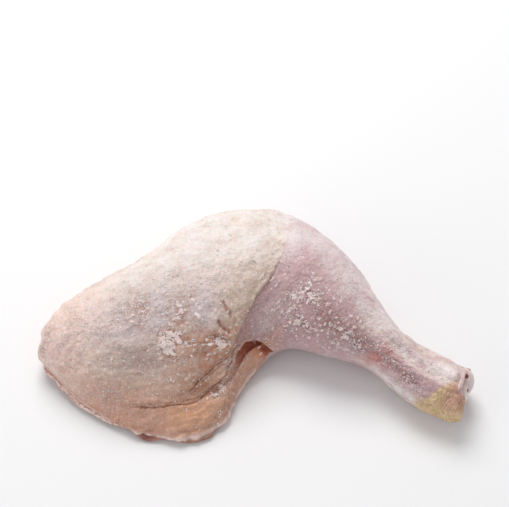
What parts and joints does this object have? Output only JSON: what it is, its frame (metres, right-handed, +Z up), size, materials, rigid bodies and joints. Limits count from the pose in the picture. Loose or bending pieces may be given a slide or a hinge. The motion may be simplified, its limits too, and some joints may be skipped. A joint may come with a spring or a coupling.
{
  "type": "raw chicken leg quarter",
  "caption": "Raw skin-on chicken leg quarter, thigh and drumstick in one piece, lying on its inner side with the cut hock showing its cartilage.",
  "frame": {"origin": "under the middle of the part's box, on the surface it lies on", "axes": "+X from the hip towards the cut hock, +Y towards the knee side, away from the nook between flap and drumstick, +Z up"},
  "size_m": [0.2142, 0.1212, 0.0448],
  "materials": {
    "skin": "raw skin, damp satin with a little frost",
    "bone": "wet cartilage"
  },
  "bodies": {
    "root": {"leg": "skin", "shank_bone": "bone"}
  },
  "joints": []
}
